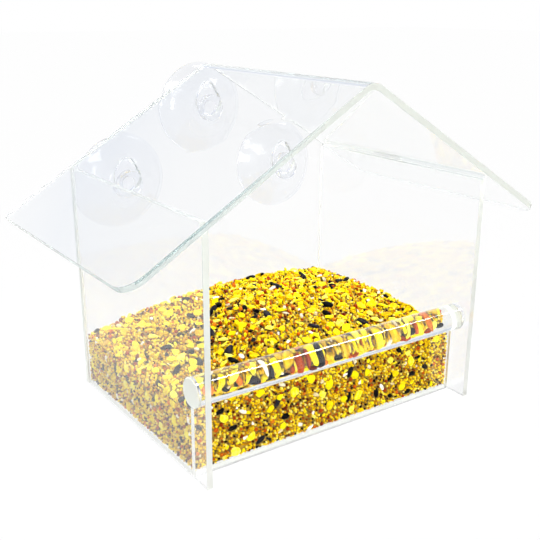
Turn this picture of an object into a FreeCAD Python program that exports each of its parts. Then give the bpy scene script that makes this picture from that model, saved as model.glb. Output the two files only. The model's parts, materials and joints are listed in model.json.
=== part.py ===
# Window bird feeder: a small open-fronted house of clear acrylic sheet, with a round
# perch over its tray lip, held to a window pane by three suction cups in keyholes.
#
# Frame: X to the right, Y towards the window, Z up, in millimetres.  The origin is at
# the middle of the bottom of the whole part, and the open front faces -Y.

import FreeCAD, Part
import Sketcher
import math
import os

# Driving dimensions, in millimetres, and the roof pitch in degrees.
DRIVING = {
    # House of flat sheet
    "sheet_thickness": 3.0,
    "floor_thickness": 2.0,
    "cement_film": 0.05,
    "house_width": 165.0,
    "house_depth": 133.0,
    "wall_height": 120.0,
    # Roof, one sheet bent along its ridge
    "roof_pitch": 31.0,
    "roof_slope_length": 140.0,
    "roof_front_overhang": 6.0,
    "ridge_bend_radius": 6.0,
    "front_corner_radius": 10.0,
    "back_corner_radius": 3.0,
    # Tray lip and perch
    "lip_setback": 12.0,
    "lip_height": 35.0,
    "perch_diameter": 14.0,
    "perch_stand_out": 0.5,
    "perch_gap": 0.4,
    "perch_hole_clearance": 0.05,
    "perch_chamfer": 0.5,
    # Suction cups
    "cup_diameter": 52.0,
    "cup_depth": 9.0,
    "cup_rim_thickness": 0.9,
    "cup_rim_land": 1.0,
    "cup_crown_thickness": 3.5,
    "cup_flare": 0.8,
    "cup_hub_diameter": 21.0,
    "cup_neck_diameter": 8.0,
    "cup_head_diameter": 14.5,
    "cup_head_thickness": 3.6,
    "cup_head_round": 0.9,
    "cup_dimple_diameter": 6.0,
    "cup_dimple_depth": 0.8,
    "cup_play": 0.1,
    "cup_clearance": 6.4,
    "lower_cup_drop": 11.0,
    "top_cup_drop": 23.5,
    # Keyholes in the back panel
    "keyhole_head_clearance": 0.3,
    "keyhole_neck_clearance": 0.3,
    "keyhole_rise": 6.25,
    # Seed heap: rises of its top over the top of the lip, and the lumps on it
    "heap_wall_clearance": 0.3,
    "heap_crest_setback": 62.0,
    "heap_front_left_rise": -2.0,
    "heap_front_middle_rise": -0.4,
    "heap_front_right_rise": -1.0,
    "heap_crest_left_rise": -6.0,
    "heap_crest_middle_rise": 10.0,
    "heap_crest_right_rise": 5.5,
    "heap_back_left_rise": -6.0,
    "heap_back_middle_rise": 6.5,
    "heap_back_right_rise": 4.0,
    "heap_lump_height": 2.0,
}

# Values worked out from the driving dimensions, written as expressions on the sheet.
HALF_WIDTH = "(Sizes.house_width / 2)"
INNER_HALF = f"({HALF_WIDTH} - Sizes.sheet_thickness)"
SIDE_DEPTH = "(Sizes.house_depth - Sizes.sheet_thickness - Sizes.cement_film)"
CUP_REACH = "(Sizes.cup_play + Sizes.cup_depth)"
FRONT_EDGE = f"((Sizes.roof_front_overhang - Sizes.house_depth - {CUP_REACH}) / 2)"
BACK_PANEL_FRONT = f"({FRONT_EDGE} + Sizes.house_depth - Sizes.sheet_thickness)"
BACK_PANEL_REAR = f"({FRONT_EDGE} + Sizes.house_depth)"
LIP_REAR = "(Sizes.lip_setback + Sizes.sheet_thickness)"

# Roof section: the bend's centre lies on x = 0, below the apex of the sheet's underside.
RISE = "tan(Sizes.roof_pitch)"
UNDER_APEX = f"(Sizes.wall_height + Sizes.cement_film + {HALF_WIDTH} * {RISE})"
TOP_APEX = f"({UNDER_APEX} + Sizes.sheet_thickness / cos(Sizes.roof_pitch))"
BEND_CENTRE = f"({UNDER_APEX} - Sizes.ridge_bend_radius / cos(Sizes.roof_pitch))"
BEND_OUTER = "(Sizes.ridge_bend_radius + Sizes.sheet_thickness)"
GABLE_BEND = "(Sizes.ridge_bend_radius - Sizes.cement_film)"

# The perch lies just over the lip, its axis above the lip's front face.
PERCH_RADIUS = "(Sizes.perch_diameter / 2)"
PERCH_HEIGHT = f"(Sizes.lip_height + Sizes.perch_gap + {PERCH_RADIUS})"

# Keyhole: a wide lower round that passes the cup's head, and a narrow upper round for its
# neck, joined by their common tangents.  At rest the neck lies at the bottom of the wide round.
NECK_RADIUS = "(Sizes.cup_neck_diameter / 2)"
WIDE_RADIUS = "(Sizes.cup_head_diameter / 2 + Sizes.keyhole_head_clearance)"
NARROW_RADIUS = f"({NECK_RADIUS} + Sizes.keyhole_neck_clearance)"
REST_DROP = f"({WIDE_RADIUS} - {NARROW_RADIUS})"
TANGENT_SINE = f"(({WIDE_RADIUS} - {NARROW_RADIUS}) / Sizes.keyhole_rise)"
TANGENT_COSINE = f"sqrt(1 - {TANGENT_SINE}^2)"
CUP_TRAVEL = f"({REST_DROP} + Sizes.keyhole_rise)"

# Cup axes at rest.  The lower pair stands far enough apart for its discs to miss the top
# disc even when a lower cup is slid up and the top cup is not.
LOWER_CUP_HEIGHT = "(Sizes.wall_height - Sizes.lower_cup_drop)"
TOP_CUP_HEIGHT = f"({UNDER_APEX} - Sizes.top_cup_drop)"
CUP_STEP = f"({TOP_CUP_HEIGHT} - {LOWER_CUP_HEIGHT} - {CUP_TRAVEL})"
LOWER_CUP_OFFSET = f"sqrt((Sizes.cup_diameter + Sizes.cup_clearance)^2 - {CUP_STEP}^2)"
CUP_AXES = {
    "suction_cup_left": (f"(-{LOWER_CUP_OFFSET})", LOWER_CUP_HEIGHT),
    "suction_cup_right": (LOWER_CUP_OFFSET, LOWER_CUP_HEIGHT),
    "suction_cup_top": ("0", TOP_CUP_HEIGHT),
}

# Seed heap: rows of lumps from the front over the crest to the back, a lump to each column.
HEAP_EDGE = f"({INNER_HALF} - Sizes.heap_wall_clearance)"
HEAP_FRONT = f"({LIP_REAR} + Sizes.heap_wall_clearance)"
HEAP_CREST = f"({LIP_REAR} + Sizes.heap_crest_setback)"
HEAP_BACK = f"({SIDE_DEPTH} + Sizes.cement_film - Sizes.heap_wall_clearance)"
HEAP_ROWS_TO_CREST = 5
HEAP_ROWS_TO_BACK = 4
HEAP_COLUMNS = 13

# Shares of the full lump height: a low lump's, and the most that any lump falls short by.
LOW_LUMP = 0.2
LUMP_VARIATION = 0.4

# Two points nearer than this count as one, in millimetres.
SAME_PLACE = 1e-6

doc = FreeCAD.newDocument("bird_feeder")
bodies = []


def make_sizes():
    """Fill the sheet with the driving dimensions, one named cell each."""
    sheet = doc.addObject("Spreadsheet::Sheet", "Sizes")
    for row, (name, value) in enumerate(DRIVING.items(), start=1):
        sheet.set(f"A{row}", name)
        sheet.set(f"B{row}", str(value))
        sheet.setAlias(f"B{row}", name)
    doc.recompute()
    return sheet


def new_body(label):
    """Start a sub-part under its own label."""
    body = doc.addObject("PartDesign::Body", label)
    body.Label = label
    bodies.append(body)
    return body


def place(body, across="0", along="0", up="0"):
    """Tie a sub-part's place to expressions on the sheet."""
    for axis, text in (("x", across), ("y", along), ("z", up)):
        body.setExpression(f"Placement.Base.{axis}", text)


def new_sketch(body, role, name, offset=None):
    """Lay a sketch on one of the body's own planes, raised along its normal by offset."""
    sketch = body.newObject("Sketcher::SketchObject", name)
    plane = next(item for item in body.Origin.OriginFeatures if item.Role == role)
    sketch.AttachmentSupport = [(plane, "")]
    sketch.MapMode = "FlatFace"
    if offset is not None:
        sketch.setExpression("AttachmentOffset.Base.z", offset)
    return sketch


def spot(sketch, place_text):
    """Current position of a point that is given as a pair of expressions."""
    across, up = (float(sketch.evalExpression(text)) for text in place_text)
    return FreeCAD.Vector(across, up, 0)


def pin(sketch, geometry, end, place_text):
    """Hold one point of a sketch at a pair of expressions."""
    for kind, axis, text in (("DistanceX", -2, place_text[0]), ("DistanceY", -1, place_text[1])):
        if text == "0":
            sketch.addConstraint(Sketcher.Constraint("PointOnObject", geometry, end, axis))
            continue
        value = float(sketch.evalExpression(text))
        index = sketch.addConstraint(Sketcher.Constraint(kind, -1, 1, geometry, end, value))
        sketch.setExpression(f"Constraints[{index}]", text)


def draw_outline(sketch, corners, bows=None):
    """Draw a closed outline; an edge with an entry in bows is an arc through that point."""
    bows = bows or {}
    spots = [spot(sketch, corner) for corner in corners]
    ends = []
    for number, start in enumerate(spots):
        finish = spots[(number + 1) % len(spots)]
        if number in bows:
            curve = Part.Arc(start, spot(sketch, bows[number]), finish)
        else:
            curve = Part.LineSegment(start, finish)
        edge = sketch.addGeometry(curve)
        turned = sketch.getPoint(edge, 1).distanceToPoint(start) > SAME_PLACE
        ends.append((edge, 2, 1) if turned else (edge, 1, 2))
    for number, (edge, start, finish) in enumerate(ends):
        following, following_start, _ = ends[(number + 1) % len(ends)]
        sketch.addConstraint(Sketcher.Constraint("Coincident", edge, finish, following, following_start))
        pin(sketch, edge, start, corners[number])
        if number in bows:
            mark = sketch.addGeometry(Part.Point(spot(sketch, bows[number])), True)
            pin(sketch, mark, 1, bows[number])
            sketch.addConstraint(Sketcher.Constraint("PointOnObject", mark, 1, edge))


def draw_circle(sketch, centre, radius):
    """Draw a circle whose centre and radius are expressions."""
    size = float(sketch.evalExpression(radius))
    edge = sketch.addGeometry(Part.Circle(spot(sketch, centre), FreeCAD.Vector(0, 0, 1), size))
    pin(sketch, edge, 3, centre)
    index = sketch.addConstraint(Sketcher.Constraint("Radius", edge, size))
    sketch.setExpression(f"Constraints[{index}]", radius)


def box_corners(left, bottom, right, top):
    """Corners of an upright rectangle."""
    return [(left, bottom), (right, bottom), (right, top), (left, top)]


def pad(body, sketch, length, both_ways=False, reverse=False):
    """Thicken a sketch by an expression."""
    feature = body.newObject("PartDesign::Pad", "Pad")
    feature.Profile = sketch
    feature.setExpression("Length", length)
    feature.Midplane = both_ways
    feature.Reversed = reverse
    doc.recompute()
    return feature


def cut_through(body, sketch):
    """Cut a sketch through the sheet it lies on, and make sure that it took material away."""
    before = body.Shape.Volume
    feature = body.newObject("PartDesign::Pocket", "Cut")
    feature.Profile = sketch
    feature.Type = "ThroughAll"
    feature.Midplane = True
    doc.recompute()
    if body.Shape.Volume >= before:
        raise RuntimeError(f"{body.Label}: the cut takes nothing away")
    return feature


def edge_names(feature, wanted):
    """Names of the edges of a feature that pass a test."""
    return [f"Edge{number}" for number, edge in enumerate(feature.Shape.Edges, start=1) if wanted(edge)]


def dress_edges(body, kind, base, names, size_property, size):
    """Round or chamfer the named edges."""
    feature = body.newObject(kind, "Edges")
    feature.Base = (base, names)
    feature.setExpression(size_property, size)
    doc.recompute()
    return feature


def make_side_panel(label, inner_face):
    """Side wall with the round hole that holds one end of the perch."""
    body = new_body(label)
    outline = new_sketch(body, "YZ_Plane", "Outline")
    draw_outline(outline, box_corners("0", "0", SIDE_DEPTH, "Sizes.wall_height"))
    pad(body, outline, "Sizes.sheet_thickness")
    hole = new_sketch(body, "YZ_Plane", "PerchHole")
    draw_circle(hole, ("Sizes.lip_setback", PERCH_HEIGHT), f"{PERCH_RADIUS} + Sizes.perch_hole_clearance")
    cut_through(body, hole)
    place(body, across=inner_face, along=FRONT_EDGE)


def draw_keyhole(sketch, centre, height):
    """Draw one keyhole: wide round below, narrow round above, joined by their tangents."""
    wide_side = f"({WIDE_RADIUS} * {TANGENT_COSINE})"
    wide_up = f"({height} + {WIDE_RADIUS} * {TANGENT_SINE})"
    narrow_side = f"({NARROW_RADIUS} * {TANGENT_COSINE})"
    narrow_up = f"({height} + Sizes.keyhole_rise + {NARROW_RADIUS} * {TANGENT_SINE})"
    corners = [
        (f"{centre} + {wide_side}", wide_up),
        (f"{centre} + {narrow_side}", narrow_up),
        (f"{centre} - {narrow_side}", narrow_up),
        (f"{centre} - {wide_side}", wide_up),
    ]
    bows = {
        1: (centre, f"{height} + Sizes.keyhole_rise + {NARROW_RADIUS}"),
        3: (centre, f"{height} - {WIDE_RADIUS}"),
    }
    draw_outline(sketch, corners, bows)


def make_back_panel():
    """Gable-ended back with three keyholes; its top follows the underside of the roof."""
    body = new_body("back_panel")
    shoulder = "(Sizes.wall_height + Sizes.cement_film - Sizes.cement_film / cos(Sizes.roof_pitch))"
    peak_side = f"({GABLE_BEND} * sin(Sizes.roof_pitch))"
    peak_up = f"({BEND_CENTRE} + {GABLE_BEND} * cos(Sizes.roof_pitch))"
    outline = new_sketch(body, "XZ_Plane", "Outline")
    corners = [
        (f"-{HALF_WIDTH}", "0"),
        (HALF_WIDTH, "0"),
        (HALF_WIDTH, shoulder),
        (peak_side, peak_up),
        (f"-{peak_side}", peak_up),
        (f"-{HALF_WIDTH}", shoulder),
    ]
    draw_outline(outline, corners, {3: ("0", f"{BEND_CENTRE} + {GABLE_BEND}")})
    pad(body, outline, "Sizes.sheet_thickness", reverse=True)
    keyholes = new_sketch(body, "XZ_Plane", "Keyholes")
    for across, up in CUP_AXES.values():
        draw_keyhole(keyholes, across, f"({up} + {REST_DROP})")
    cut_through(body, keyholes)
    place(body, along=BACK_PANEL_FRONT)


def make_floor_panel():
    """Tray floor, let in between the lip, the sides and the back."""
    body = new_body("floor_panel")
    edge = f"({INNER_HALF} - Sizes.cement_film)"
    outline = new_sketch(body, "XY_Plane", "Outline")
    front = f"({LIP_REAR} + Sizes.cement_film)"
    draw_outline(outline, box_corners(f"-{edge}", front, edge, SIDE_DEPTH))
    pad(body, outline, "Sizes.floor_thickness")
    place(body, along=FRONT_EDGE)


def make_front_lip():
    """Low front wall of the tray, set back from the front edges of the sides."""
    body = new_body("front_lip")
    edge = f"({INNER_HALF} - Sizes.cement_film)"
    outline = new_sketch(body, "XZ_Plane", "Outline")
    draw_outline(outline, box_corners(f"-{edge}", "0", edge, "Sizes.lip_height"))
    pad(body, outline, "Sizes.sheet_thickness", reverse=True)
    place(body, along=f"{FRONT_EDGE} + Sizes.lip_setback")


def make_roof():
    """Roof: one sheet bent round its ridge, with rounded eave corners."""
    body = new_body("roof_sheet")
    sine = "sin(Sizes.roof_pitch)"
    cosine = "cos(Sizes.roof_pitch)"
    top_eave = (f"(Sizes.roof_slope_length * {cosine})", f"({TOP_APEX} - Sizes.roof_slope_length * {sine})")
    low_eave = (f"({top_eave[0]} - Sizes.sheet_thickness * {sine})",
                f"({top_eave[1]} - Sizes.sheet_thickness * {cosine})")
    outer = (f"({BEND_OUTER} * {sine})", f"({BEND_CENTRE} + {BEND_OUTER} * {cosine})")
    inner = (f"(Sizes.ridge_bend_radius * {sine})",
             f"({BEND_CENTRE} + Sizes.ridge_bend_radius * {cosine})")
    right_side = [inner, low_eave, top_eave, outer]
    left_side = [(f"-{across}", up) for across, up in reversed(right_side)]
    outline = new_sketch(body, "XZ_Plane", "Section")
    bows = {
        3: ("0", f"{BEND_CENTRE} + {BEND_OUTER}"),
        7: ("0", f"{BEND_CENTRE} + Sizes.ridge_bend_radius"),
    }
    draw_outline(outline, right_side + left_side, bows)
    sheet = pad(body, outline, "Sizes.roof_front_overhang + Sizes.house_depth", reverse=True)

    length = float(body.evalExpression("Sizes.roof_front_overhang + Sizes.house_depth"))
    eave_side = float(body.evalExpression(low_eave[0]))

    def is_eave_corner(edge, along):
        """True for the short edge through the sheet at an eave corner."""
        return all(abs(point.Point.y - along) < SAME_PLACE and abs(point.Point.x) > eave_side - SAME_PLACE
                   for point in edge.Vertexes)

    front = edge_names(sheet, lambda edge: is_eave_corner(edge, 0))
    rounded = dress_edges(body, "PartDesign::Fillet", sheet, front, "Radius", "Sizes.front_corner_radius")
    back = edge_names(rounded, lambda edge: is_eave_corner(edge, length))
    dress_edges(body, "PartDesign::Fillet", rounded, back, "Radius", "Sizes.back_corner_radius")
    place(body, along=f"{FRONT_EDGE} - Sizes.roof_front_overhang")


def make_perch():
    """Round clear rod, cemented into both sides and lying over the lip."""
    body = new_body("perch_rod")
    section = new_sketch(body, "YZ_Plane", "Section")
    draw_circle(section, ("0", "0"), PERCH_RADIUS)
    rod = pad(body, section, "Sizes.house_width + 2 * Sizes.perch_stand_out", both_ways=True)
    ends = edge_names(rod, lambda edge: isinstance(edge.Curve, Part.Circle))
    dress_edges(body, "PartDesign::Chamfer", rod, ends, "Size", "Sizes.perch_chamfer")
    place(body, along=f"{FRONT_EDGE} + Sizes.lip_setback", up=PERCH_HEIGHT)


def make_cup(label, across, up):
    """Moulded suction cup: mushroom head, neck in the keyhole, hub and thin flared skirt.

    The section is drawn with its radius across and its axis towards the window, measured
    from the rear face of the back panel.
    """
    body = new_body(label)
    head_under = "(-Sizes.sheet_thickness - Sizes.cup_play)"
    head_front = f"({head_under} - Sizes.cup_head_thickness)"
    head_radius = "(Sizes.cup_head_diameter / 2)"
    hub_radius = "(Sizes.cup_hub_diameter / 2)"
    rim_radius = "(Sizes.cup_diameter / 2)"
    rim_plane = CUP_REACH
    rim_front = f"({rim_plane} - Sizes.cup_rim_thickness)"
    land_radius = f"({rim_radius} - Sizes.cup_rim_land)"
    crown = "(Sizes.cup_play + Sizes.cup_crown_thickness)"
    hollow_half = f"(({NECK_RADIUS} + {land_radius}) / 2)"
    hollow_bow = f"({crown} + ({rim_plane} - {crown}) / 4)"
    round_slant = "(Sizes.cup_head_round * (1 - sqrt(0.5)))"
    corners = [
        ("0", f"{head_front} + Sizes.cup_dimple_depth"),
        ("Sizes.cup_dimple_diameter / 2", head_front),
        (f"{head_radius} - Sizes.cup_head_round", head_front),
        (head_radius, f"{head_front} + Sizes.cup_head_round"),
        (head_radius, head_under),
        (NECK_RADIUS, head_under),
        (NECK_RADIUS, "Sizes.cup_play"),
        (hub_radius, "Sizes.cup_play"),
        (rim_radius, rim_front),
        (rim_radius, rim_plane),
        (land_radius, rim_plane),
        (NECK_RADIUS, crown),
        ("0", crown),
    ]
    bows = {
        2: (f"{head_radius} - {round_slant}", f"{head_front} + {round_slant}"),
        7: (f"({hub_radius} + {rim_radius}) / 2",
            f"(Sizes.cup_play + {rim_front}) / 2 + Sizes.cup_flare"),
        10: (hollow_half, hollow_bow),
    }
    section = new_sketch(body, "XY_Plane", "Section")
    draw_outline(section, corners, bows)
    turned = body.newObject("PartDesign::Revolution", "Turned")
    turned.Profile = section
    turned.ReferenceAxis = (section, ["V_Axis"])
    turned.Angle = 360
    place(body, across=across, along=BACK_PANEL_REAR, up=up)
    doc.recompute()


def heap_rows():
    """Rows of the heap: place along it, the two ends it lies between, and its share of the way."""
    rows = []
    for step in range(HEAP_ROWS_TO_CREST):
        share = step / HEAP_ROWS_TO_CREST
        along = f"({HEAP_FRONT} + ({HEAP_CREST} - {HEAP_FRONT}) * {share:g})"
        rows.append((along, "front", "crest", 1 - (1 - share) ** 2))
    for step in range(HEAP_ROWS_TO_BACK + 1):
        share = step / HEAP_ROWS_TO_BACK
        along = f"({HEAP_CREST} + ({HEAP_BACK} - {HEAP_CREST}) * {share:g})"
        rows.append((along, "crest", "back", share ** 2))
    return rows


def heap_spot(start, finish, share, across):
    """Point on a row's smooth top, with across from -1 at the left wall to 1 at the right one."""
    left, middle, right = (
        f"(Sizes.heap_{start}_{side}_rise * {1 - share:g} + Sizes.heap_{finish}_{side}_rise * {share:g})"
        for side in ("left", "middle", "right")
    )
    slope = f"({right} - {left}) / 2 * ({across:.5f})"
    sag = f"(({left} + {right}) / 2 - {middle}) * {across ** 2:.5f}"
    sideways = f"({HEAP_EDGE} * ({across:.5f}))" if across else "0"
    return sideways, f"(Sizes.lip_height + {middle} + {slope} + {sag})"


def lump_share(row, column):
    """Share of the full lump height: tall and low lumps take turns, each a little different."""
    if row in (0, HEAP_ROWS_TO_CREST + HEAP_ROWS_TO_BACK):
        return LOW_LUMP
    tall = (row + column) % 2 == 0
    shortfall = LUMP_VARIATION * (1 - math.sin(3 * row + 5 * column)) / 2
    return (1 if tall else LOW_LUMP) * (1 - shortfall)


def make_seed_fill():
    """Heap of loose seed in the tray, lofted through its rows of lumps from front to back."""
    body = new_body("seed_fill")
    sections = []
    for number, (along, start, finish, share) in enumerate(heap_rows()):
        sketch = new_sketch(body, "XZ_Plane", f"Row{number}", offset=f"-{along}")
        corners = [(f"-{HEAP_EDGE}", "Sizes.floor_thickness"), (HEAP_EDGE, "Sizes.floor_thickness")]
        bows = {}
        for column in range(HEAP_COLUMNS):
            from_right = 1 - 2 * column / HEAP_COLUMNS
            corners.append(heap_spot(start, finish, share, from_right))
            across, up = heap_spot(start, finish, share, round(from_right - 1 / HEAP_COLUMNS, 9))
            lump = f"Sizes.heap_lump_height * {lump_share(number, column):.3f}"
            bows[len(corners) - 1] = (across, f"({up} + {lump})")
        corners.append(heap_spot(start, finish, share, -1))
        draw_outline(sketch, corners, bows)
        sections.append(sketch)
    doc.recompute()
    loft = body.newObject("PartDesign::AdditiveLoft", "Heap")
    loft.Profile = sections[0]
    loft.Sections = sections[1:]
    loft.Ruled = True
    place(body, along=FRONT_EDGE)
    doc.recompute()


def check_document():
    """Stop if any object failed to build or any sub-part is not one valid solid."""
    doc.recompute()
    for item in doc.Objects:
        if "Invalid" in item.State or "Error" in item.State:
            raise RuntimeError(f"{item.Label} is {item.State}")
    for body in bodies:
        shape = body.Shape
        if shape.isNull() or not shape.isValid() or len(shape.Solids) != 1:
            raise RuntimeError(f"{body.Label} is not one valid solid")


def write_parts():
    """Write each sub-part to its own file, and print its volume and box."""
    os.makedirs("parts", exist_ok=True)
    for body in bodies:
        body.Shape.exportStep(os.path.join("parts", f"{body.Label}.step"))
        box = body.Shape.BoundBox
        corners = (box.XMin, box.YMin, box.ZMin, box.XMax, box.YMax, box.ZMax)
        print(f"{body.Label:18s} {body.Shape.Volume:10.1f} mm3 ", *(f"{value:8.2f}" for value in corners))


make_sizes()
make_side_panel("left_side_panel", f"-{HALF_WIDTH}")
make_side_panel("right_side_panel", INNER_HALF)
make_back_panel()
make_floor_panel()
make_front_lip()
make_roof()
make_perch()
for cup_label, (cup_across, cup_up) in CUP_AXES.items():
    make_cup(cup_label, cup_across, cup_up)
make_seed_fill()
check_document()
write_parts()
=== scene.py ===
"""Looks of a window bird feeder: clear acrylic sheets, a perch, suction cups and loose seed.

Everything is in metres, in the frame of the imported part: X to the right, Y towards the
window, Z up, with the open front facing -Y.
"""

import json
import logging
import math
import random
from collections.abc import Callable
from dataclasses import dataclass, field, replace
from enum import Enum, IntEnum

import bmesh
import bpy
import numpy as np
from bmesh.types import BMesh, BMVert
from bpy.types import (
    Collection, Material, Mesh, Node, NodeOutputs, NodeSocket, NodeTree, Object, World,
)
from mathutils import Matrix, Quaternion, Vector

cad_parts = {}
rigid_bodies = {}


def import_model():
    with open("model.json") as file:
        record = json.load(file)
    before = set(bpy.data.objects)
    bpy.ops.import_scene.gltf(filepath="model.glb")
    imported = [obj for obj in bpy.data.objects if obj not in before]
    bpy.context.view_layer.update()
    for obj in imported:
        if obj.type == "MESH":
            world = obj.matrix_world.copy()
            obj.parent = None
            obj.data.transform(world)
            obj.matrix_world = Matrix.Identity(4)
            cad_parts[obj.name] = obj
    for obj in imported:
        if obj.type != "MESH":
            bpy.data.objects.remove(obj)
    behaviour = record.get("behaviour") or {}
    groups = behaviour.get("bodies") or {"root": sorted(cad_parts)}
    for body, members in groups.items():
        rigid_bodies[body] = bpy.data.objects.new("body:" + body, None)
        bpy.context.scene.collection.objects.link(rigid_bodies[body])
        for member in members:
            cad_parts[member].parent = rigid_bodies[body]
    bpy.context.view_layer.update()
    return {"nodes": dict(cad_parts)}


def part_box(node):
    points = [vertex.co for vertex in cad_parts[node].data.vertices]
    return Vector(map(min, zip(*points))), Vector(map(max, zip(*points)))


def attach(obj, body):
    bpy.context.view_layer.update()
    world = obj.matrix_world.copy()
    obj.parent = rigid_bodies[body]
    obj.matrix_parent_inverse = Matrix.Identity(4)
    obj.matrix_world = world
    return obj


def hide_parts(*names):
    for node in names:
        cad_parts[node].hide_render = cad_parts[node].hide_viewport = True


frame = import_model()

Pair = tuple[float, float]

MM = 0.001
PER_SQUARE_CM = 1e4
HOUSE = "house"
WHITE = (1.0, 1.0, 1.0, 1.0)

# Corners of the CAD that are nearer than this are one, and edges below this lie on the ground.
WELD = 0.001 * MM
GROUND = 0.01 * MM
# Faces that meet at less are one flat face; edges that turn by more get a bevel or a hard edge.
FLAT_ANGLE = math.radians(0.5)
BEVEL_ANGLE = math.radians(40)
TURNED_EDGE_ANGLE = math.radians(35)

log = logging.getLogger("bird_feeder")


def linear(colour: str) -> tuple[float, float, float, float]:
    """Turn an sRGB hex colour into linear red, green, blue and alpha.

    Args:
        colour: six hex digits after a hash sign.

    Returns:
        The four linear components, alpha last.
    """
    parts = [int(colour[i:i + 2], 16) / 255 for i in (1, 3, 5)]
    return (*(c / 12.92 if c <= 0.04045 else ((c + 0.055) / 1.055) ** 2.4 for c in parts), 1.0)


def add_node(
    tree: NodeTree, kind: str, inputs: dict[str | int, object] | None = None, **settings: object
) -> Node:
    """Add a node, set its properties, and set or link its inputs.

    Args:
        tree: the node tree that gets the node.
        kind: the node's type name.
        inputs: by input name or number, a value to set, a socket to link, or a node whose first
            output is linked.
        settings: properties of the node itself.

    Returns:
        The new node.
    """
    node = tree.nodes.new(kind)
    for name, value in settings.items():
        setattr(node, name, value)
    for name, value in (inputs or {}).items():
        if isinstance(value, Node):
            value = value.outputs[0]
        if isinstance(value, NodeSocket):
            tree.links.new(value, node.inputs[name])
        else:
            node.inputs[name].default_value = value
    return node


def math_node(tree: NodeTree, operation: str, *terms: object, **settings: object) -> Node:
    """Add a node that works out a number from terms, each a number, a socket or a node."""
    return add_node(tree, "ShaderNodeMath", dict(enumerate(terms)), operation=operation, **settings)


def vector_node(tree: NodeTree, operation: str, *terms: object) -> Node:
    """Add a node that works out a vector from terms, each a vector, a socket or a node."""
    return add_node(tree, "ShaderNodeVectorMath", dict(enumerate(terms)), operation=operation)


def map_range(tree: NodeTree, value: object, source: Pair, target: tuple[object, object]) -> Node:
    """Add a node that maps a value's range to a target range, given by numbers or sockets."""
    ends = zip(("From Min", "From Max", "To Min", "To Max"), (*source, *target))
    return add_node(tree, "ShaderNodeMapRange", {"Value": value, **dict(ends)})


def texture(tree: NodeTree, kind: str, size: float, **inputs: float) -> NodeOutputs:
    """Add a texture that stays with the object, with blotches of a size in millimetres."""
    place = add_node(tree, "ShaderNodeTexCoord").outputs["Object"]
    return add_node(tree, kind, {"Vector": place, "Scale": 1 / (size * MM), **inputs}).outputs


def colour_ramp(tree: NodeTree, value: object, stops: list[tuple[float, str]]) -> Node:
    """Add a node that turns a value into a colour.

    Args:
        tree: the node tree.
        value: the socket or node that gives the value.
        stops: value and colour of each stop, in order.

    Returns:
        The new node.
    """
    node = add_node(tree, "ShaderNodeValToRGB", {0: value})
    elements = node.color_ramp.elements
    while len(elements) < len(stops):
        elements.new(0.5)
    for element, (position, colour) in zip(elements, stops):
        element.position = position
        element.color = linear(colour)
    return node


def in_plastic(tree: NodeTree, path: Node) -> Node:
    """Add a node that gives 1 for rays that a glossy or clear surface has sent on."""
    return math_node(
        tree, "MAXIMUM", path.outputs["Is Glossy Ray"], path.outputs["Is Transmission Ray"]
    )


def new_material(name: str) -> tuple[Material, NodeTree]:
    """Make a material with an empty tree.

    Args:
        name: the material's name.

    Returns:
        The material and its node tree.
    """
    material = bpy.data.materials.new(name)
    material.use_nodes = True
    material.node_tree.nodes.clear()
    return material, material.node_tree


def show(name: str, mesh: Mesh) -> Object:
    """Put a mesh in the scene as an object of its own.

    Args:
        name: the object's name.
        mesh: its mesh, in the part's frame.

    Returns:
        The new object.
    """
    piece = bpy.data.objects.new(name, mesh)
    bpy.context.scene.collection.objects.link(piece)
    return piece


def settle(piece: Object) -> None:
    """Turn a piece's modifiers into plain mesh.

    Args:
        piece: the piece, which keeps its name.
    """
    graph = bpy.context.evaluated_depsgraph_get()
    mesh = bpy.data.meshes.new_from_object(
        piece.evaluated_get(graph), preserve_all_data_layers=True, depsgraph=graph
    )
    rough = piece.data
    piece.modifiers.clear()
    piece.data = mesh
    bpy.data.meshes.remove(rough)
    mesh.name = piece.name


def welded_copy(node: str) -> BMesh:
    """Copy a CAD node's mesh with its loose triangles joined at their corners.

    Args:
        node: the CAD node's name.

    Returns:
        The copy, still to be worked on.
    """
    solid = bmesh.new()
    solid.from_mesh(frame["nodes"][node].data)
    bmesh.ops.remove_doubles(solid, verts=solid.verts, dist=WELD)
    return solid


def face_outwards(shape: BMesh) -> None:
    """Turn a closed shape's faces outwards; new or moved faces need their normals first."""
    shape.normal_update()
    bmesh.ops.recalc_face_normals(shape, faces=shape.faces)


def mesh_from(name: str, shape: BMesh) -> Mesh:
    """Turn a worked shape into a mesh.

    Args:
        name: the mesh's name.
        shape: the shape, which is used up.

    Returns:
        The new mesh.
    """
    mesh = bpy.data.meshes.new(name)
    shape.to_mesh(mesh)
    shape.free()
    return mesh


def drop_cad_normals(mesh: Mesh) -> None:
    """Take the normals that came with the CAD off a mesh whose shape has changed."""
    if "custom_normal" in mesh.attributes:
        mesh.attributes.remove(mesh.attributes["custom_normal"])


def whole_copy(node: str) -> Mesh:
    """Copy a CAD node's mesh with its loose triangles joined into whole faces.

    Args:
        node: the CAD node's name.

    Returns:
        The new mesh, closed, with flat faces in one piece and its sharp edges marked for a bevel,
        but for those on the ground.
    """
    solid = welded_copy(node)
    bmesh.ops.dissolve_limit(solid, angle_limit=FLAT_ANGLE, verts=solid.verts, edges=solid.edges)
    solid.normal_update()
    weights = solid.edges.layers.float.new("bevel_weight_edge")
    for edge in solid.edges:
        aloft = max(vert.co.z for vert in edge.verts) > GROUND
        sharp = edge.calc_face_angle(0.0) > BEVEL_ANGLE
        edge[weights] = float(aloft and sharp)
        edge.smooth = aloft or not sharp
    mesh = mesh_from(node, solid)
    drop_cad_normals(mesh)
    return mesh


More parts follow.
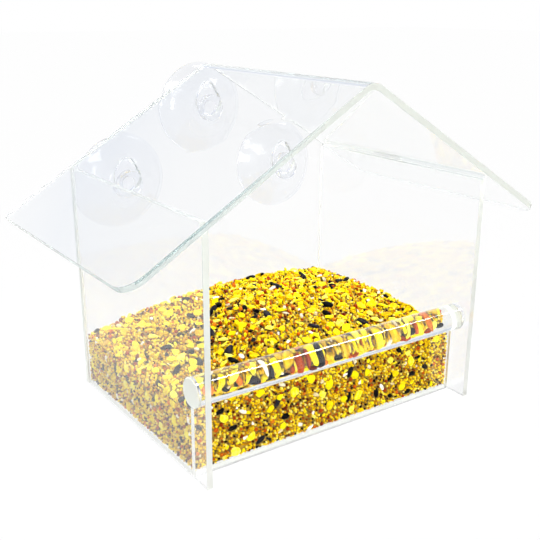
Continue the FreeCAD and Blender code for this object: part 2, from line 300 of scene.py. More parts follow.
def mark_sawn(mesh: Mesh, mark: Callable[[Vector, Vector], float]) -> None:
    """Mark how far each face is from polished.

    Args:
        mesh: the mesh.
        mark: a function of a face's normal and centre, 0 for polished and 1 for sawn.
    """
    marks = mesh.attributes.new("sawn", "FLOAT", "FACE")
    for face in mesh.polygons:
        marks.data[face.index].value = mark(face.normal, face.center)


def coordinates(mesh: Mesh) -> np.ndarray:
    """Read the places of a mesh's vertices.

    Args:
        mesh: the mesh.

    Returns:
        One row of x, y and z for each vertex.
    """
    flat = np.empty(len(mesh.vertices) * 3, np.float32)
    mesh.vertices.foreach_get("co", flat)
    return flat.reshape(-1, 3)


def arc(start: Vector, through: Vector, end: Vector, steps: int) -> list[Vector]:
    """Follow the circle through three points of a section.

    Args:
        start: the first point, radius and height.
        through: a point on the way.
        end: the last point.
        steps: how many points to give.

    Returns:
        The points after start, up to and with end.
    """
    a, b = through - start, end - start
    cross = 2 * (a.x * b.y - a.y * b.x)
    centre = start + Vector((
        (b.y * a.length_squared - a.y * b.length_squared) / cross,
        (a.x * b.length_squared - b.x * a.length_squared) / cross,
    ))
    first = start - centre
    turn = first.angle_signed(through - centre) + (through - centre).angle_signed(end - centre)
    points = []
    for step in range(1, steps + 1):
        angle = -turn * step / steps
        points.append(centre + Vector((
            first.x * math.cos(angle) - first.y * math.sin(angle),
            first.x * math.sin(angle) + first.y * math.cos(angle),
        )))
    return points


def turned(name: str, section: list[Vector], segments: int) -> Mesh:
    """Turn a section about its height axis into a closed shell.

    Args:
        name: the mesh's name.
        section: radius and height of each point, from pole to pole.
        segments: how many steps go round.

    Returns:
        The mesh, its axis along Z.
    """
    shell = bmesh.new()
    rings = []
    for radius, height in section:
        if not radius:
            rings.append([shell.verts.new((0.0, 0.0, height))])
            continue
        angles = [2 * math.pi * step / segments for step in range(segments)]
        rings.append([
            shell.verts.new((radius * math.cos(a), radius * math.sin(a), height)) for a in angles
        ])
    for lower, upper in zip(rings, rings[1:]):
        for step in range(segments):
            after = (step + 1) % segments
            corners = [lower[step % len(lower)], lower[after % len(lower)],
                       upper[after % len(upper)], upper[step % len(upper)]]
            shell.faces.new(list(dict.fromkeys(corners)))
    face_outwards(shell)
    mesh = mesh_from(name, shell)
    for face in mesh.polygons:
        face.use_smooth = True
    mesh.set_sharp_from_angle(angle=TURNED_EDGE_ANGLE)
    return mesh


def hand_over(piece: Object, body: str, slot: str, *nodes: str) -> None:
    """Let a finished piece ride on its body and stand for its CAD nodes.

    Args:
        piece: the finished piece, at the origin.
        body: the CAD body that carries it.
        slot: the record's material slot; not used.
        nodes: the CAD nodes that it stands for.
    """
    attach(piece, body)
    if nodes:
        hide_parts(*nodes)
    log.info("%s: %d faces on %s", piece.name, len(piece.data.polygons), body)


class Lie(Enum):
    """The axis that a flat sheet's thickness runs along."""

    ACROSS = 0
    ALONG = 1
    LEVEL = 2


class Form(Enum):
    """The shape that a grain of seed has."""

    BALL = "ball"
    KERNEL = "kernel"
    CHIP = "chip"
    FLAKE = "flake"


class Skin(Enum):
    """A side of the heap, by the way that it faces."""

    TOP = "top"
    PERCH = "perch"
    FRONT = "front"
    LEFT = "left"
    RIGHT = "right"
    BACK = "back"


class Salt(IntEnum):
    """A number that sets one random value of a grain apart from the others."""

    SIZE = 1
    TOSS = 2
    PICK = 3
    SHADE = 4


@dataclass(frozen=True)
class ClearPlastic:
    """A clear plastic that takes up a little light on its way through.

    Light that crosses a face goes a few millimetres and stays white.  Light that comes out of an
    edge has gone along the whole sheet and has the colour of the plastic.  The sawn attribute
    says how far a face is from polished: 0 is polished, 1 is straight from the saw.
    """

    name: str
    ior: float
    body: str
    tint: str
    tint_density: float
    polished: float
    smear: float
    smear_size: float
    smear_detail: float = 3.0
    smeared: Pair = (0.5, 0.75)
    sawn: float = 0.0
    sawn_haze: float = 0.0
    sawn_colour: str = "#FFFFFF"
    lamplight: float = 0.97

    def material(self) -> Material:
        """Build the material.

        Returns:
            A clear material, satin and hazy where its faces are sawn.
        """
        material, tree = new_material(self.name)
        # Faint smears from handling.
        smears = texture(tree, "ShaderNodeTexNoise", self.smear_size, Detail=self.smear_detail)
        sheen = map_range(tree, smears["Fac"], self.smeared, (self.polished, self.polished + self.smear))
        mark = add_node(tree, "ShaderNodeAttribute", attribute_name="sawn").outputs["Fac"]
        finish = add_node(tree, "ShaderNodeMix", {0: mark, 2: sheen, 3: self.sawn})
        plastic = add_node(
            tree, "ShaderNodeBsdfPrincipled",
            {"Base Color": linear(self.body), "IOR": self.ior, "Transmission Weight": 1.0,
             "Roughness": finish},
        )
        if self.sawn_haze:
            clear = math_node(tree, "MULTIPLY_ADD", mark, -self.sawn_haze, 1.0)
            colour = add_node(
                tree, "ShaderNodeMix", {0: mark, 6: linear(self.body), 7: linear(self.sawn_colour)},
                data_type="RGBA",
            )
            tree.links.new(clear.outputs[0], plastic.inputs["Transmission Weight"])
            tree.links.new(colour.outputs[2], plastic.inputs["Base Color"])
        # Lamps shine through, so that what lies behind the plastic is lit.
        through = add_node(tree, "ShaderNodeBsdfTransparent", {"Color": (*[self.lamplight] * 3, 1.0)})
        path = add_node(tree, "ShaderNodeLightPath")
        mixed = add_node(
            tree, "ShaderNodeMixShader", {0: path.outputs["Is Shadow Ray"], 1: plastic, 2: through}
        )
        inside = add_node(
            tree, "ShaderNodeVolumeAbsorption",
            {"Color": linear(self.tint), "Density": self.tint_density},
        )
        add_node(tree, "ShaderNodeOutputMaterial", {"Surface": mixed, "Volume": inside})
        return material


@dataclass(frozen=True)
class SeedHull:
    """The hull of one kind of seed, from the darkest grains of the kind to the palest."""

    name: str
    shades: tuple[str, ...]
    roughness: float
    mottle_size: float
    mottle: float
    shine: float = 0.2
    ior: float = 1.45
    mottle_detail: float = 2.0
    mottled: Pair = (0.3, 0.7)

    def material(self) -> Material:
        """Build the material.

        Returns:
            A material whose shade attribute sets each grain apart from the next.
        """
        material, tree = new_material(self.name)
        shade = add_node(tree, "ShaderNodeAttribute", attribute_name="shade")
        blotches = texture(tree, "ShaderNodeTexNoise", self.mottle_size, Detail=self.mottle_detail)
        offset = map_range(tree, blotches["Fac"], self.mottled, (-self.mottle, self.mottle))
        spot = math_node(tree, "ADD", shade.outputs["Fac"], offset, use_clamp=True)
        last = len(self.shades) - 1
        stops = [(number / last, colour) for number, colour in enumerate(self.shades)]
        hull = add_node(
            tree, "ShaderNodeBsdfPrincipled",
            {"Base Color": colour_ramp(tree, spot, stops), "Roughness": self.roughness,
             "IOR": self.ior, "Specular IOR Level": self.shine},
        )
        add_node(tree, "ShaderNodeOutputMaterial", {"Surface": hull})
        return material


@dataclass(frozen=True)
class PackedSeed:
    """Seed deep in the heap: gold grains darkened with painted shade, as they look in the gaps between
    the whole ones.
    """

    name: str = "packed_seed"
    grain_size: float = 1.4
    # From dark painted shade in the gaps to the gold of the seed itself.
    shades: tuple[str, str] = ("#4A3204", "#BE980C")
    roughness: float = 0.6

    def material(self) -> Material:
        """Build the material.

        Returns:
            A material of one dull shade for each grain, from dark painted shade to the seed's own gold.
        """
        material, tree = new_material(self.name)
        cells = texture(tree, "ShaderNodeTexVoronoi", self.grain_size)
        grey = add_node(tree, "ShaderNodeRGBToBW", {0: cells["Color"]})
        ramp = colour_ramp(tree, grey, list(zip((0.0, 1.0), self.shades)))
        seed = add_node(
            tree, "ShaderNodeBsdfPrincipled", {"Base Color": ramp, "Roughness": self.roughness}
        )
        add_node(tree, "ShaderNodeOutputMaterial", {"Surface": seed})
        return material


@dataclass(frozen=True)
class StudioPaper:
    """Matt white paper that runs on to the horizon, and shows only a faint shadow.

    Before the lip, a patch of it is painted dark for mirror images alone, a painted dark reflection that
    stands in for a card, so that the lip mirrors it dark and the seed behind the lip keeps its full
    colour.  The patch isn't seen by the eye, and doesn't show through the other sheets.
    """

    name: str = "white_studio_paper"
    colour: str = "#FAFAFA"
    glow: float = 0.85
    # The patch of painted dark reflection: its middle, half its size, the edge of its fade, its
    # darkness, and the fewest clear faces that hide it.
    dark_patch_middle: tuple[float, float, float] = (0.04, -0.0925, 0.0)
    dark_patch_half: tuple[float, float, float] = (0.12, 0.0425, 1.0)
    dark_patch_edge: Pair = (0.96, 1.04)
    painted_reflection_shade: float = 0.04
    dark_patch_faces: float = 3.0

    def material(self) -> Material:
        """Build the material.

        Returns:
            Paper that is white to the eye and through the plastic, with some of its shadow kept.
        """
        material, tree = new_material(self.name)
        path = add_node(tree, "ShaderNodeLightPath")
        looked_at = math_node(tree, "MAXIMUM", path.outputs["Is Camera Ray"], in_plastic(tree, path))
        share = math_node(tree, "MULTIPLY", looked_at, self.glow)
        paper = add_node(tree, "ShaderNodeBsdfDiffuse", {"Color": linear(self.colour)})
        white = add_node(tree, "ShaderNodeEmission", {"Color": WHITE, "Strength": 1.0})
        seen = add_node(tree, "ShaderNodeMixShader", {0: share, 1: paper, 2: white})
        # Painted dark reflection: dim light that only mirror images of the patch show.
        painted_reflection = add_node(tree, "ShaderNodeEmission", {"Color": WHITE, "Strength": self.painted_reflection_shade})
        in_painted_reflection = self._in_painted_reflection(tree, path)
        mixed = add_node(tree, "ShaderNodeMixShader", {0: in_painted_reflection, 1: seen, 2: painted_reflection})
        add_node(tree, "ShaderNodeOutputMaterial", {"Surface": mixed})
        return material

    def _in_painted_reflection(self, tree: NodeTree, path: Node) -> Node:
        """Add nodes that pick out mirror images of the patch of painted dark reflection.

        Args:
            tree: the paper's tree.
            path: its light path node.

        Returns:
            A node that gives 1 where a face mirrors the painted dark patch, and 0 elsewhere.
        """
        place = add_node(tree, "ShaderNodeTexCoord").outputs["Object"]
        distance = vector_node(tree, "ABSOLUTE", vector_node(tree, "SUBTRACT", place, self.dark_patch_middle))
        shares = vector_node(tree, "DIVIDE", distance, self.dark_patch_half)
        sides = add_node(tree, "ShaderNodeSeparateXYZ", {0: shares}).outputs
        inside = map_range(
            tree, math_node(tree, "MAXIMUM", sides["X"], sides["Y"]), self.dark_patch_edge, (1.0, 0.0)
        )
        # A mirror image has one glossy bounce; light that runs along inside a sheet has many.
        mirrored = math_node(tree, "COMPARE", path.outputs["Glossy Depth"], 1.0, 0.5)
        direct = math_node(tree, "LESS_THAN", path.outputs["Transmission Depth"], self.dark_patch_faces)
        return math_node(tree, "MULTIPLY", math_node(tree, "MULTIPLY", inside, mirrored), direct)


@dataclass(frozen=True)
class WhiteRoom:
    """The room round the stage: white walls, and a ceiling that is dim blue-grey towards the front.

    Matt surfaces get its soft light from all round.  The plastic shows the walls and the ceiling,
    in the shades that go with their rise towards the dim part, in degrees.
    """

    name: str = "white_room"
    soft_light: float = 0.65
    shades: tuple[tuple[float, str], ...] = (
        (0, "#FFFFFF"), (4.5, "#D8E2F4"), (11, "#F0F2F8"), (42, "#F0F2F8"), (62, "#5A6880"),
    )
    dim_way: tuple[float, float, float] = (0.0, -0.34, 0.94)

    def world(self) -> World:
        """Build the world.

        Returns:
            A world that is white to the eye and shaded in the plastic.
        """
        world = bpy.data.worlds.new(self.name)
        world.use_nodes = True
        tree = world.node_tree
        tree.nodes.clear()
        path = add_node(tree, "ShaderNodeLightPath")
        way = add_node(tree, "ShaderNodeTexCoord").outputs["Generated"]
        rise = vector_node(tree, "DOT_PRODUCT", way, self.dim_way).outputs["Value"]
        stops = [(math.sin(math.radians(degrees)), colour) for degrees, colour in self.shades]
        shell = colour_ramp(tree, rise, stops)
        white = add_node(tree, "ShaderNodeBackground", {"Color": WHITE, "Strength": 1.0})
        walls = add_node(tree, "ShaderNodeBackground", {"Color": shell, "Strength": 1.0})
        soft = add_node(tree, "ShaderNodeBackground", {"Color": WHITE, "Strength": self.soft_light})
        around = add_node(tree, "ShaderNodeMixShader", {0: in_plastic(tree, path), 1: soft, 2: walls})
        room = add_node(
            tree, "ShaderNodeMixShader", {0: path.outputs["Is Camera Ray"], 1: around, 2: white}
        )
        add_node(tree, "ShaderNodeOutputWorld", {"Surface": room})
        return world


# Cast acrylic (PMMA): bright clear faces, pale satin edges from a fine saw, and the blue-green of
# light that has run through the sheet from edge to edge.
CAST_ACRYLIC = ClearPlastic(
    name="clear_cast_acrylic", ior=1.49, body="#FEFEFE", tint="#9CC0C0", tint_density=3.2,
    polished=0.0, smear=0.008, smear_size=30.0, sawn=0.4, sawn_haze=0.85, sawn_colour="#D6D7CD",
)
# The roof's sheet, bent hot: a little greener in the edge.
BENT_ACRYLIC = replace(CAST_ACRYLIC, name="clear_bent_acrylic", tint_density=6.5)
# Plasticised PVC: softer to the eye than acrylic, with a faint grey-violet cast.
SOFT_PVC = ClearPlastic(
    name="clear_soft_pvc", ior=1.53, body="#F9FAFC", tint="#B9B9D0", tint_density=3.0,
    polished=0.04, smear=0.08, smear_size=8.0,
)


@dataclass
class SheetHouse:
    """The cemented house: two sides, back, floor, lip and the bent roof.

    Each sheet has a number for its edges, from 0, polished, to 1, straight from the saw, and one
    for the edge on top.  The roof's numbers are those of its right gable, its eaves and back, and
    the low end of its left gable, whose upper corner is scraped clear.
    """

    flat_sheets: dict[str, tuple[Lie, float, float]] = field(default_factory=lambda: {
        "left_side_panel": (Lie.ACROSS, 0.7, 0.35),
        "right_side_panel": (Lie.ACROSS, 0.7, 0.0),
        "back_panel": (Lie.ALONG, 0.7, 0.7),
        "floor_panel": (Lie.LEVEL, 0.7, 0.0),
        "front_lip": (Lie.ALONG, 0.6, 0.5),
    })
    roof: str = "roof_sheet"
    roof_pitch: float = math.radians(31)
    bend_half: float = 10 * MM
    edge_break: float = 0.16 * MM
    edge_steps: int = 2
    roof_sawn: float = 0.85
    eave_sawn: float = 0.35
    gable_sawn: float = 0.5
    gable_fade: Pair = (-85 * MM, -10 * MM)
    gable_cuts: int = 10
    arris: float = 1.2 * MM
    arris_level: float = field(init=False, default=0.0)
    square_on: float = 0.9
    forward: float = -0.4
    underneath: float = -0.2

    @property
    def left_slope(self) -> Vector:
        """Give the way that the left slope faces."""
        return Vector((-math.sin(self.roof_pitch), 0.0, math.cos(self.roof_pitch)))

    def build(self) -> None:
        """Build and dress every sheet."""
        acrylic = CAST_ACRYLIC.material()
        for node, (lie, sawn, top) in self.flat_sheets.items():
            self._sheet(node, acrylic, lambda normal, _: self._flat_mark(lie, sawn, top, normal))
        self._sheet(self.roof, BENT_ACRYLIC.material(), self._roof_mark)

    def _flat_mark(self, lie: Lie, sawn: float, top: float, normal: Vector) -> float:
        """Tell how far a patch of a flat sheet is from polished.

        Args:
            lie: the axis of the sheet's thickness.
            sawn: the number of its edges.
            top: the number of its edge on top.
            normal: the patch's normal.

        Returns:
            0 on the faces and underneath, where the sheet is wet with cement, and more on the edges.
        """
        if abs(normal[lie.value]) >= self.square_on or normal.z <= self.underneath:
            return 0.0
        return top if normal.z >= self.square_on else sawn

    def _roof_mark(self, normal: Vector, middle: Vector) -> float:
        """Tell how far a patch of the roof is from polished.

        Args:
            normal: the patch's normal.
            middle: its centre.

        Returns:
            0 on the faces and the bend, and more on the edges.
        """
        edgeways = abs(normal.y)
        if abs(middle.x) >= self.bend_half:
            outward = math.copysign(math.cos(self.roof_pitch), middle.x)
            down_slope = Vector((outward, 0.0, -math.sin(self.roof_pitch)))
            edgeways = max(edgeways, normal @ down_slope)
        if 1 - edgeways >= self.square_on:
            return 0.0
        if normal.y > self.forward:
            return self.eave_sawn
        scraped = self.left_slope @ middle > self.arris_level
        least = 0.0 if scraped else self.gable_sawn
        return float(np.interp(middle.x, self.gable_fade, (least, self.roof_sawn)))

    def _sheet(self, node: str, acrylic: Material, mark: Callable[[Vector, Vector], float]) -> None:
        """Make one sheet with broken edges and mark its sawn faces.

        Args:
            node: the CAD node that it stands for.
            acrylic: the sheet's material.
            mark: a function of a face's normal and centre that gives its distance from polished.
        """
        piece = show(f"{node}_clear", whole_copy(node))
        if node == self.roof:
            self._part_front_edge(piece.data)
        bevel = piece.modifiers.new("edge_break", "BEVEL")
        bevel.width = self.edge_break
        bevel.segments = self.edge_steps
        bevel.limit_method = "WEIGHT"
        bevel.harden_normals = True
        for face in piece.data.polygons:
            face.use_smooth = True
        settle(piece)
        mark_sawn(piece.data, mark)
        piece.data.materials.clear()
        piece.data.materials.append(acrylic)
        hand_over(piece, HOUSE, "clear_acrylic", node)

    def _part_front_edge(self, mesh: Mesh) -> None:
        """Cut the roof's front edge where it passes from smooth to sawn.

        The cuts run across the left gable's edge, and along its scraped upper corner.

        Args:
            mesh: the roof.
        """
        roof = bmesh.new()
        roof.from_mesh(mesh)
        self.arris_level = max(self.left_slope @ vert.co for vert in roof.verts) - self.arris
        across = Vector((1.0, 0.0, 0.0))
        cuts = [(across * reach, across) for reach in np.linspace(*self.gable_fade, self.gable_cuts)]
        cuts.append((self.left_slope * self.arris_level, self.left_slope))
        for place, way in cuts:
            fronts = [face for face in roof.faces if face.normal.y < -self.square_on]
            edges = {edge for face in fronts for edge in face.edges}
            verts = {vert for face in fronts for vert in face.verts}
            bmesh.ops.bisect_plane(roof, geom=[*fronts, *edges, *verts], plane_co=place, plane_no=way)
        roof.to_mesh(mesh)
        roof.free()


@dataclass
class Perch:
    """The clear rod over the lip, with its two sawn ends."""

    node: str = "perch_rod"
    chamfer: float = 0.5 * MM
    segments: int = 128
    ends_sawn: float = 0.8
    endwise: float = 0.5

    def build(self) -> None:
        """Build and dress the rod."""
        low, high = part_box(self.node)
        middle = (low + high) / 2
        reach = (high.x - low.x) / 2
        radius = (high.y - low.y) / 2
        shoulder = reach - self.chamfer
        half = [Vector((0.0, reach)), Vector((radius - self.chamfer, reach)), Vector((radius, shoulder))]
        section = half + [Vector((p.x, -p.y)) for p in reversed(half)]
        mesh = turned("perch_rod_clear", section, self.segments)
        mesh.transform(Matrix.Translation(middle) @ Matrix.Rotation(math.radians(90), 4, "Y"))
        mark_sawn(mesh, lambda normal, _: self.ends_sawn * (abs(normal.x) > self.endwise))
        mesh.materials.append(bpy.data.materials[CAST_ACRYLIC.name])
        hand_over(show("perch_rod_clear", mesh), HOUSE, "clear_acrylic", self.node)


@dataclass
class SuctionCup:
    """One moulded cup: mushroom head, neck, hub and thin flared skirt."""

    node: str
    body: str
    gate_angle: float
    head_radius: float = 7.25 * MM
    head_thickness: float = 3.6 * MM
    head_round: float = 0.9 * MM
    dimple_radius: float = 3.0 * MM
    dimple_depth: float = 0.8 * MM
    neck_radius: float = 4.0 * MM
    neck_length: float = 3.2 * MM
    hub_radius: float = 10.5 * MM
    skirt_flare: float = 0.8 * MM
    rim_thickness: float = 0.9 * MM
    rim_land: float = 1.0 * MM
    crown_thickness: float = 3.5 * MM
    gate_reach: float = 22.3 * MM
    gate_width: float = 0.8 * MM
    gate_height: float = 0.5 * MM
    gate_zone: float = 0.85
    segments: int = 160
    round_steps: int = 6
    skirt_steps: int = 24

    @property
    def hub_front(self) -> float:
        """Give the height at which the neck meets the hub."""
        return self.head_thickness + self.neck_length

    def section(self, rim_radius: float, length: float) -> list[Vector]:
        """Draw the cup's section, from the middle of its head to the middle of its hollow.

        Args:
            rim_radius: radius of the rim.
            length: from the front of the head to the plane of the rim.

        Returns:
            Radius and height of each point, the head's front at height 0.
        """
        under, hub = self.head_thickness, self.hub_front
        rim_front = length - self.rim_thickness
        land = rim_radius - self.rim_land
        crown = hub + self.crown_thickness
        slant = self.head_round * (1 - math.sqrt(0.5))
        points = [Vector((0.0, self.dimple_depth)), Vector((self.dimple_radius, 0.0)),
                  Vector((self.head_radius - self.head_round, 0.0))]
        points += arc(points[-1], Vector((self.head_radius - slant, slant)),
                      Vector((self.head_radius, self.head_round)), self.round_steps)
        points += [Vector((self.head_radius, under)), Vector((self.neck_radius, under)),
                   Vector((self.neck_radius, hub)), Vector((self.hub_radius, hub))]
        skirt_middle = Vector(((self.hub_radius + rim_radius) / 2,
                               (hub + rim_front) / 2 + self.skirt_flare))
        points += arc(points[-1], skirt_middle, Vector((rim_radius, rim_front)), self.skirt_steps)
        points += [Vector((rim_radius, length)), Vector((land, length))]
        hollow = Vector(((self.neck_radius + land) / 2, crown + (length - crown) / 4))
        points += arc(points[-1], hollow, Vector((self.neck_radius, crown)), self.skirt_steps)
        return points + [Vector((0.0, crown))]

    def build(self, plastic: Material) -> None:
        """Build and dress the cup.

        Args:
            plastic: the cups' material.
        """
        low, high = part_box(self.node)
        middle = (low + high) / 2
        section = self.section((high.z - low.z) / 2, high.y - low.y)
        mesh = turned(f"{self.node}_clear", section, self.segments)
        self._add_gate(mesh)
        mesh.transform(
            Matrix.Translation((middle.x, low.y, middle.z)) @ Matrix.Rotation(math.radians(-90), 4, "X")
        )
        mesh.materials.append(plastic)
        hand_over(show(f"{self.node}_clear", mesh), self.body, "clear_pvc", self.node)

    def _add_gate(self, mesh: Mesh) -> None:
        """Raise the nub that the mould's gate leaves on the skirt.

        Args:
            mesh: the cup, its axis along Z.
        """
        places = coordinates(mesh)
        angle = -self.gate_angle
        spot = self.gate_reach * np.array([math.cos(angle), math.sin(angle)])
        away = np.hypot(*(places[:, :2] - spot).T)
        heights = places[:, 2]
        front = heights < self.hub_front + self.gate_zone * (heights.max() - self.hub_front)
        places[:, 2] -= front * self.gate_height * np.exp(-(away / self.gate_width) ** 2)
        mesh.vertices.foreach_set("co", places.ravel())


@dataclass(frozen=True)
class GrainKind:
    """One kind of grain in the mix: its form, its size in millimetres and its hull."""

    name: str
    form: Form
    length: float
    width: float
    thickness: float
    hull: SeedHull
    variants: int = 4
    spread: float = 0.2
    # Of the unit shapes: the ranges that chance draws from, and how finely they are cut.
    ball_unevenness: Pair = (0.92, 1.08)
    kernel_steps: tuple[int, int] = (8, 6)
    kernel_taper: Pair = (0.25, 0.45)
    chip_corners: int = 11
    chip_reach: Pair = (0.75, 1.0)
    flake_corners: int = 9
    flake_curl: Pair = (0.2, 0.9)
    flake_waver: Pair = (-0.25, 0.25)
    flake_reach: Pair = (0.7, 1.0)
    # How far out and how high a flake's lower and upper outlines are, and how high its top and
    # its underside are in the middle.
    flake_insets: Pair = (1.0, 0.95)
    flake_edges: Pair = (-0.45, 0.45)
    flake_middles: Pair = (0.6, -0.3)
    # Where a grain's underside and its upper side lie in its map, and how far they reach.
    map_middles: Pair = (0.75, 0.25)
    map_reach: Pair = (0.21, 0.42)

    def meshes(self, dice: random.Random) -> list[Mesh]:
        """Shape the kind's variants.

        Args:
            dice: the seeded source of chance.

        Returns:
            One small mesh for each variant, its thickness along Z.
        """
        makers = {
            Form.BALL: self._ball, Form.KERNEL: self._kernel,
            Form.CHIP: self._chip, Form.FLAKE: self._flake,
        }
        return [self._finish(makers[self.form](dice), number) for number in range(self.variants)]

    def _finish(self, shape: BMesh, number: int) -> Mesh:
        """Give a unit shape its size, its smoothness and a map of its own.

        Args:
            shape: the shape, which is used up.
            number: the variant's number.

        Returns:
            The finished mesh.
        """
        face_outwards(shape)
        size = Vector((self.length, self.width, self.thickness)) * (MM / 2)
        flat_map = shape.loops.layers.uv.new("grain_map")
        shape.normal_update()
        for face in shape.faces:
            face.smooth = self.form in (Form.BALL, Form.KERNEL)
            middle = self.map_middles[face.normal.z > 0]
            for corner in face.loops:
                across, along = (a * b for a, b in zip(self.map_reach, corner.vert.co))
                corner[flat_map].uv = (middle + across, 0.5 + along)
        for vert in shape.verts:
            vert.co = Vector(a * b for a, b in zip(vert.co, size))
        return mesh_from(f"{self.name}_{number}", shape)

    def _ball(self, dice: random.Random) -> BMesh:
        """Shape a round grain, a little uneven.

        Args:
            dice: the seeded source of chance.

        Returns:
            The shape, one unit in radius.
        """
        shape = bmesh.new()
        bmesh.ops.create_icosphere(shape, subdivisions=1, radius=1.0)
        for vert in shape.verts:
            vert.co *= dice.uniform(*self.ball_unevenness)
        return shape

    def _kernel(self, dice: random.Random) -> BMesh:
        """Shape a long grain, blunt at one end and pointed at the other.

        Args:
            dice: the seeded source of chance.

        Returns:
            The shape, its length along X.
        """
        shape = bmesh.new()
        around, along = self.kernel_steps
        bmesh.ops.create_uvsphere(shape, u_segments=around, v_segments=along, radius=1.0)
        taper = dice.uniform(*self.kernel_taper)
        for vert in shape.verts:
            x, y, reach = vert.co
            girth = 1 - taper * (reach + 1) / 2
            vert.co = Vector((reach, x * girth, y * girth))
        return shape

    def _chip(self, dice: random.Random) -> BMesh:
        """Shape a broken grain with flat, angular faces.

        Args:
            dice: the seeded source of chance.

        Returns:
            The shape, one unit in radius.
        """
        shape = bmesh.new()
        for _ in range(self.chip_corners):
            way = Vector((dice.gauss(0, 1), dice.gauss(0, 1), dice.gauss(0, 1))).normalized()
            shape.verts.new(way * dice.uniform(*self.chip_reach))
        hull = bmesh.ops.convex_hull(shape, input=shape.verts)
        spare = [v for v in hull["geom_interior"] if isinstance(v, BMVert)]
        bmesh.ops.delete(shape, geom=spare, context="VERTS")
        return shape

    def _flake(self, dice: random.Random) -> BMesh:
        """Shape a pressed flake: a thin, curled plate with a ragged outline.

        Args:
            dice: the seeded source of chance.

        Returns:
            The shape, flat in X and Y.
        """
        shape = bmesh.new()
        curl = dice.uniform(*self.flake_curl)
        lower, upper = rings = ([], [])
        for step in range(self.flake_corners):
            angle = 2 * math.pi * (step + dice.uniform(*self.flake_waver)) / self.flake_corners
            reach = dice.uniform(*self.flake_reach)
            for ring, inset, edge in zip(rings, self.flake_insets, self.flake_edges):
                x = reach * inset * math.cos(angle)
                y = reach * inset * math.sin(angle)
                ring.append(shape.verts.new((x, y, edge - curl * x * x)))
        top, under = (shape.verts.new((0.0, 0.0, height)) for height in self.flake_middles)
        for step in range(self.flake_corners):
            after = (step + 1) % self.flake_corners
            shape.faces.new((upper[step], upper[after], top))
            shape.faces.new((lower[after], lower[step], under))
            shape.faces.new((lower[step], lower[after], upper[after], upper[step]))
        return shape


# Yellow dent corn, cracked and flaked: waxy yellow skin, paler floury insides.
CORN = SeedHull(
    "corn_skin", ("#CC9E00", "#E8C800", "#F8E400", "#FAE810", "#FCF064"),
    roughness=0.4, mottle_size=1.6, mottle=0.2, shine=0.05,
)
# Black oil sunflower, whole and broken: dry ribbed hull, nearly black with a blue cast.
SUNFLOWER = SeedHull(
    "sunflower_hull", ("#040406", "#0A0A0E", "#14141C", "#2A2830"),
    roughness=0.5, mottle_size=0.9, mottle=0.25, shine=0.05,
)
# Red milo: brick to orange-brown.
MILO = SeedHull(
    "milo_hull", ("#6A1E06", "#A03C08", "#C85E0E", "#E0861C"),
    roughness=0.4, mottle_size=1.2, mottle=0.15, shine=0.05,
)
# Safflower and broken oat: chalky white to cream.
SAFFLOWER = SeedHull(
    "safflower_hull", ("#D8C490", "#F0E4C0", "#FAF5E6", "#FFFFFF"),
    roughness=0.55, mottle_size=1.4, mottle=0.2,
)
# White proso millet: small, polished, straw to golden.
MILLET = SeedHull(
    "millet_hull", ("#B47A06", "#DEAC06", "#F2CE08", "#F8DC24", "#F6E47C"),
    roughness=0.38, mottle_size=0.8, mottle=0.1, shine=0.03,
)
# Red millet: the same grain in rust and brown.
RED_MILLET = replace(
    MILLET, name="red_millet_hull", shades=("#35150A", "#6E2A0A", "#A34A0C", "#C87414")
)

# Name, form, length, width and thickness, hull, number of shapes, and spread of sizes.
FLAKES = GrainKind("corn_flake", Form.FLAKE, 6.0, 4.4, 1.3, CORN, 6, 0.25)
CHIPS = GrainKind("corn_chip", Form.CHIP, 3.8, 3.0, 2.2, CORN, 6, 0.3)
BLACKS = GrainKind("sunflower_seed", Form.KERNEL, 5.4, 3.4, 2.5, SUNFLOWER, 3, 0.4)
SPECKS = GrainKind("sunflower_bit", Form.CHIP, 1.9, 1.5, 1.3, SUNFLOWER, 4, 0.4)
REDS = GrainKind("milo_grain", Form.BALL, 2.4, 2.2, 2.0, MILO, 4, 0.35)
WHITES = GrainKind("safflower_seed", Form.KERNEL, 4.2, 2.3, 1.8, SAFFLOWER, 3, 0.25)
CRUMBS = GrainKind("oat_chip", Form.CHIP, 3.4, 2.4, 1.8, SAFFLOWER, 4, 0.35)
MILLETS = GrainKind("millet_grain", Form.BALL, 1.5, 1.4, 1.3, MILLET, 3, 0.12)
RED_MILLETS = GrainKind("red_millet_grain", Form.BALL, 1.5, 1.4, 1.3, RED_MILLET, 3, 0.15)


@dataclass(frozen=True)
class GrainLayer:
    """How thickly one kind of grain lies on one side of the heap.

    The spacing is in millimetres, the tilt in degrees and the lift in thicknesses of the grain.
    The kind may be gathered in a patch, round which only the thinned share of it lies, and its
    grains may be grown larger than on the other sides.
    """

    kind: GrainKind
    per_square_cm: float
    spacing: float
    tilt: float
    lift: float
    thinned: float = 1.0
    grown: float = 1.0


